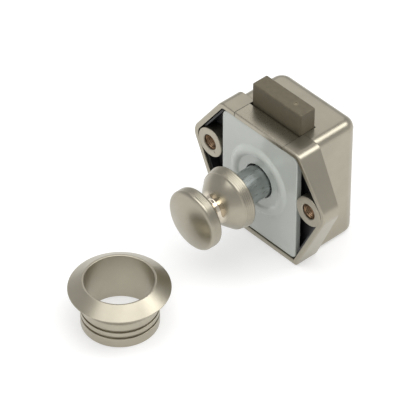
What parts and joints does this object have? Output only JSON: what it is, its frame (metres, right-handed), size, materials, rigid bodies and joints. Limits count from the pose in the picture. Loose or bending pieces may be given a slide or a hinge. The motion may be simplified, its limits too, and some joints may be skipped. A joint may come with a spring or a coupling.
{
  "type": "push button cabinet lock",
  "caption": "Winged metal cabinet lock whose sprung knob is pushed in to draw its square bolt down, with a loose flanged rosette that trims the hole in the door.",
  "frame": {"origin": "on the knob's axis, in the plane of the case's front rim, which lies against the back of the door", "axes": "+X across the case's ears, -Y out of the door towards the knob, +Z the way the bolt throws"},
  "size_m": [0.0484, 0.0809, 0.0429],
  "materials": {
    "satin_nickel": "satin nickel plate on die-cast metal, polished on the knob's neck",
    "white_acetal": "smooth moulded white plastic",
    "black_nylon": "smooth moulded black plastic",
    "bush_brass": "drawn brass, slightly browned",
    "spring_steel": "bright steel",
    "cast_zinc": "bare cast zinc with drawn streaks along the shaft",
    "bolt_taupe": "dull taupe coating, rubbed pale along its edges"
  },
  "bodies": {
    "case": {"front_frame": "satin_nickel", "rear_case": "satin_nickel", "slot_bridge": "satin_nickel", "guide_plate": "white_acetal", "carrier_plate": "black_nylon", "screw_bushes": "bush_brass", "case_screws": "spring_steel", "spring_guide": "spring_steel", "index_crown": "black_nylon", "return_spring": "spring_steel", "bolt_springs": "spring_steel"},
    "plunger": {"plunger_shaft": "cast_zinc", "cam_wedge": "black_nylon", "wedge_screw": "spring_steel", "knob": "satin_nickel", "knob_stud": "spring_steel", "rotor_clip": "spring_steel"},
    "rotor": {"index_rotor": "white_acetal"},
    "bolt": {"latch_bolt": "bolt_taupe"},
    "rosette": {"rosette": "satin_nickel"}
  },
  "joints": [
    {"name": "knob_push", "type": "slide", "parent": "case", "child": "plunger", "axis": [0, 1, 0], "range_m": [0, 0.0074], "stiffness_N_per_m": 560, "springref_m": -0.004, "deforming": ["return_spring"]},
    {"name": "bolt_draw", "type": "slide", "parent": "case", "child": "bolt", "axis": [0, 0, -1], "range_m": [0, 0.0065], "stiffness_N_per_m": 1000, "springref_m": -0.001, "deforming": ["bolt_springs"]},
    {"name": "rotor_turn", "type": "hinge", "parent": "plunger", "child": "rotor", "pos_m": [0, 0.0088, 0], "axis": [0, 1, 0], "range_deg": [-45, 0]},
    {"name": "rosette_lift", "type": "slide", "parent": "case", "child": "rosette", "axis": [0, 0, 1], "range_m": [0, 0.03]}
  ],
  "couplings": [
    {"joint": "bolt_draw", "follows": "knob_push", "ratio": 0.8783},
    {"joint": "rotor_turn", "follows": "knob_push", "rad_per_m": -106.13}
  ]
}
